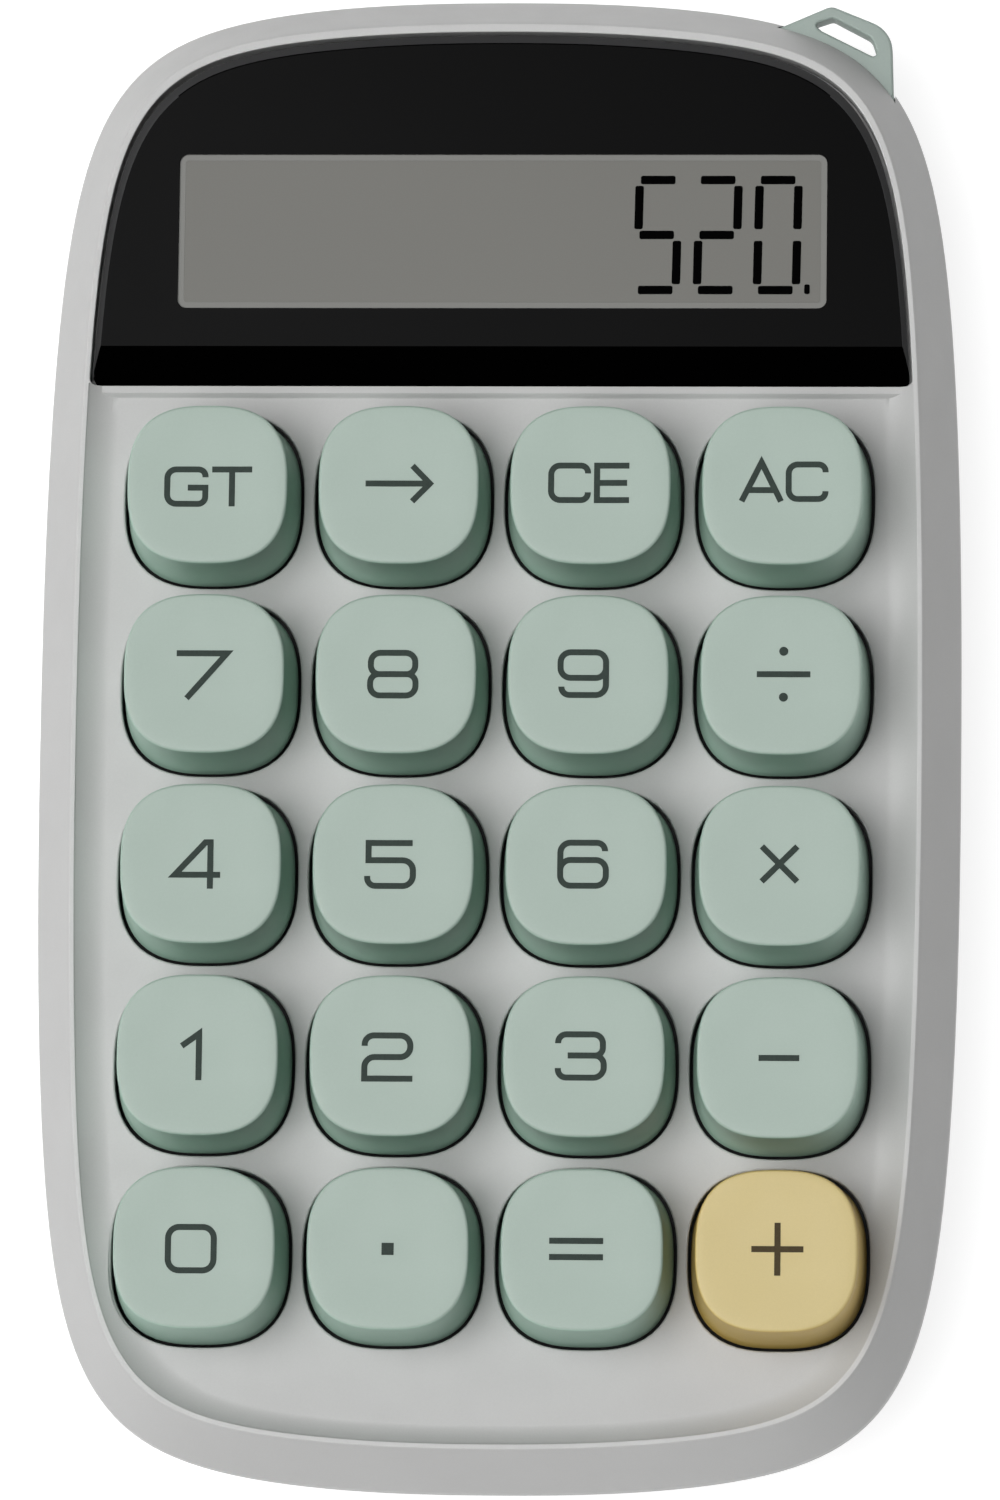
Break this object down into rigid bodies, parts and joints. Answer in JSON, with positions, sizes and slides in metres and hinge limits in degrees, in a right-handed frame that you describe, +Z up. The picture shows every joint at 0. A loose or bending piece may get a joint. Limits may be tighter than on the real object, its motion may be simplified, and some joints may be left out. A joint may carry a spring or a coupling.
{
  "type": "desk calculator",
  "caption": "Handheld desk calculator with rounded light grey case, black display panel, sage mechanical-switch keys with one yellow key, and a corner strap loop.",
  "frame": {"origin": "under the middle of the case, on the plane that the feet stand on", "axes": "+X to the right, +Y from the keys towards the display, +Z up out of the keys"},
  "size_m": [0.0926, 0.1516, 0.0262],
  "materials": {
    "shell_plastic": "satin light grey moulded plastic",
    "base_plastic": "fine-grained light grey moulded plastic",
    "black_acrylic": "polished black",
    "sage_plastic": "satin sage green",
    "yellow_plastic": "satin soft yellow",
    "dark_plastic": "satin near-black",
    "legend_ink": "printed dark ink",
    "board_green": "green solder mask",
    "lcd_grey": "grey reflective liquid-crystal face",
    "lcd_segment": "black liquid-crystal segments",
    "ribbon_film": "amber polyimide film",
    "steel": "zinc-plated",
    "battery_sleeve": "shrink sleeve",
    "foot_rubber": "matt black"
  },
  "bodies": {
    "case": {"upper_housing": "shell_plastic", "lower_housing": "base_plastic", "display_lens": "black_acrylic", "strap_loop": "sage_plastic", "switch_block": "dark_plastic", "main_board": "board_green", "lcd_panel": "lcd_grey", "lcd_ribbon": "ribbon_film", "battery_cell": "battery_sleeve", "battery_contact": "steel", "battery_spring": "steel", "screw_front_left": "steel", "foot_front_left": "foot_rubber", "screw_front_right": "steel", "foot_front_right": "foot_rubber", "screw_rear_left": "steel", "foot_rear_left": "foot_rubber", "screw_rear_right": "steel", "foot_rear_right": "foot_rubber"},
    "key_gt": {"keycap_gt": "sage_plastic", "stem_gt": "dark_plastic"},
    "key_arrow": {"keycap_arrow": "sage_plastic", "stem_arrow": "dark_plastic"},
    "key_ce": {"keycap_ce": "sage_plastic", "stem_ce": "dark_plastic"},
    "key_ac": {"keycap_ac": "sage_plastic", "stem_ac": "dark_plastic"},
    "key_7": {"keycap_7": "sage_plastic", "stem_7": "dark_plastic"},
    "key_8": {"keycap_8": "sage_plastic", "stem_8": "dark_plastic"},
    "key_9": {"keycap_9": "sage_plastic", "stem_9": "dark_plastic"},
    "key_divide": {"keycap_divide": "sage_plastic", "stem_divide": "dark_plastic"},
    "key_4": {"keycap_4": "sage_plastic", "stem_4": "dark_plastic"},
    "key_5": {"keycap_5": "sage_plastic", "stem_5": "dark_plastic"},
    "key_6": {"keycap_6": "sage_plastic", "stem_6": "dark_plastic"},
    "key_multiply": {"keycap_multiply": "sage_plastic", "stem_multiply": "dark_plastic"},
    "key_1": {"keycap_1": "sage_plastic", "stem_1": "dark_plastic"},
    "key_2": {"keycap_2": "sage_plastic", "stem_2": "dark_plastic"},
    "key_3": {"keycap_3": "sage_plastic", "stem_3": "dark_plastic"},
    "key_minus": {"keycap_minus": "sage_plastic", "stem_minus": "dark_plastic"},
    "key_0": {"keycap_0": "sage_plastic", "stem_0": "dark_plastic"},
    "key_point": {"keycap_point": "sage_plastic", "stem_point": "dark_plastic"},
    "key_equals": {"keycap_equals": "sage_plastic", "stem_equals": "dark_plastic"},
    "key_plus": {"keycap_plus": "yellow_plastic", "stem_plus": "dark_plastic"},
    "door": {"battery_door": "base_plastic"}
  },
  "joints": [
    {"name": "press_gt", "type": "slide", "parent": "case", "child": "key_gt", "axis": [0, 0, -1], "range_m": [0, 0.0036], "stiffness_N_per_m": 55, "springref_m": -0.0075},
    {"name": "press_arrow", "type": "slide", "parent": "case", "child": "key_arrow", "axis": [0, 0, -1], "range_m": [0, 0.0036], "stiffness_N_per_m": 55, "springref_m": -0.0075},
    {"name": "press_ce", "type": "slide", "parent": "case", "child": "key_ce", "axis": [0, 0, -1], "range_m": [0, 0.0036], "stiffness_N_per_m": 55, "springref_m": -0.0075},
    {"name": "press_ac", "type": "slide", "parent": "case", "child": "key_ac", "axis": [0, 0, -1], "range_m": [0, 0.0036], "stiffness_N_per_m": 55, "springref_m": -0.0075},
    {"name": "press_7", "type": "slide", "parent": "case", "child": "key_7", "axis": [0, 0, -1], "range_m": [0, 0.0036], "stiffness_N_per_m": 55, "springref_m": -0.0075},
    {"name": "press_8", "type": "slide", "parent": "case", "child": "key_8", "axis": [0, 0, -1], "range_m": [0, 0.0036], "stiffness_N_per_m": 55, "springref_m": -0.0075},
    {"name": "press_9", "type": "slide", "parent": "case", "child": "key_9", "axis": [0, 0, -1], "range_m": [0, 0.0036], "stiffness_N_per_m": 55, "springref_m": -0.0075},
    {"name": "press_divide", "type": "slide", "parent": "case", "child": "key_divide", "axis": [0, 0, -1], "range_m": [0, 0.0036], "stiffness_N_per_m": 55, "springref_m": -0.0075},
    {"name": "press_4", "type": "slide", "parent": "case", "child": "key_4", "axis": [0, 0, -1], "range_m": [0, 0.0036], "stiffness_N_per_m": 55, "springref_m": -0.0075},
    {"name": "press_5", "type": "slide", "parent": "case", "child": "key_5", "axis": [0, 0, -1], "range_m": [0, 0.0036], "stiffness_N_per_m": 55, "springref_m": -0.0075},
    {"name": "press_6", "type": "slide", "parent": "case", "child": "key_6", "axis": [0, 0, -1], "range_m": [0, 0.0036], "stiffness_N_per_m": 55, "springref_m": -0.0075},
    {"name": "press_multiply", "type": "slide", "parent": "case", "child": "key_multiply", "axis": [0, 0, -1], "range_m": [0, 0.0036], "stiffness_N_per_m": 55, "springref_m": -0.0075},
    {"name": "press_1", "type": "slide", "parent": "case", "child": "key_1", "axis": [0, 0, -1], "range_m": [0, 0.0036], "stiffness_N_per_m": 55, "springref_m": -0.0075},
    {"name": "press_2", "type": "slide", "parent": "case", "child": "key_2", "axis": [0, 0, -1], "range_m": [0, 0.0036], "stiffness_N_per_m": 55, "springref_m": -0.0075},
    {"name": "press_3", "type": "slide", "parent": "case", "child": "key_3", "axis": [0, 0, -1], "range_m": [0, 0.0036], "stiffness_N_per_m": 55, "springref_m": -0.0075},
    {"name": "press_minus", "type": "slide", "parent": "case", "child": "key_minus", "axis": [0, 0, -1], "range_m": [0, 0.0036], "stiffness_N_per_m": 55, "springref_m": -0.0075},
    {"name": "press_0", "type": "slide", "parent": "case", "child": "key_0", "axis": [0, 0, -1], "range_m": [0, 0.0036], "stiffness_N_per_m": 55, "springref_m": -0.0075},
    {"name": "press_point", "type": "slide", "parent": "case", "child": "key_point", "axis": [0, 0, -1], "range_m": [0, 0.0036], "stiffness_N_per_m": 55, "springref_m": -0.0075},
    {"name": "press_equals", "type": "slide", "parent": "case", "child": "key_equals", "axis": [0, 0, -1], "range_m": [0, 0.0036], "stiffness_N_per_m": 55, "springref_m": -0.0075},
    {"name": "press_plus", "type": "slide", "parent": "case", "child": "key_plus", "axis": [0, 0, -1], "range_m": [0, 0.0036], "stiffness_N_per_m": 55, "springref_m": -0.0075},
    {"name": "door_hinge", "type": "hinge", "parent": "case", "child": "door", "pos_m": [0, 0.04835, 0.001], "axis": [-1, 0, 0], "range_deg": [0, 55]}
  ]
}
